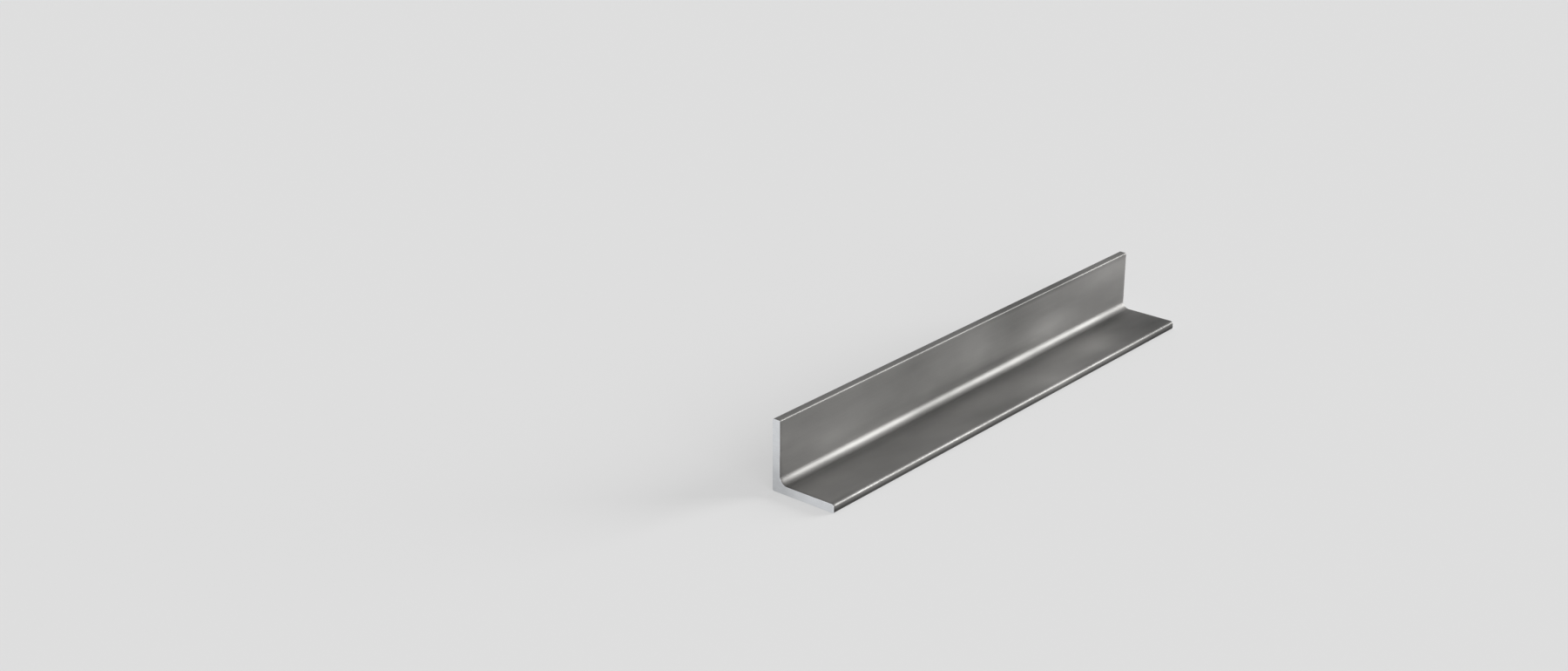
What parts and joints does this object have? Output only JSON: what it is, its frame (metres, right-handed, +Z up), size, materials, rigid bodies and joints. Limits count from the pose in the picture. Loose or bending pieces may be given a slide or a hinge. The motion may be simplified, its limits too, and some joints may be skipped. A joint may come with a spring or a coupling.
{
  "type": "steel angle section",
  "caption": "Equal leg angle bar in hot rolled steel, L shaped section with a filleted root, rounded inside toes and square sawn ends, lying on one leg.",
  "frame": {"origin": "middle of the outside face of the lying leg, on the floor", "axes": "+X across the lying leg from heel to toe, +Y along the bar, +Z up along the upright leg"},
  "size_m": [0.05, 0.4, 0.05],
  "materials": {
    "rolled_steel": "hot rolled, clean, satin dark grey, with bright sawn ends"
  },
  "bodies": {
    "root": {"angle_section": "rolled_steel"}
  },
  "joints": []
}
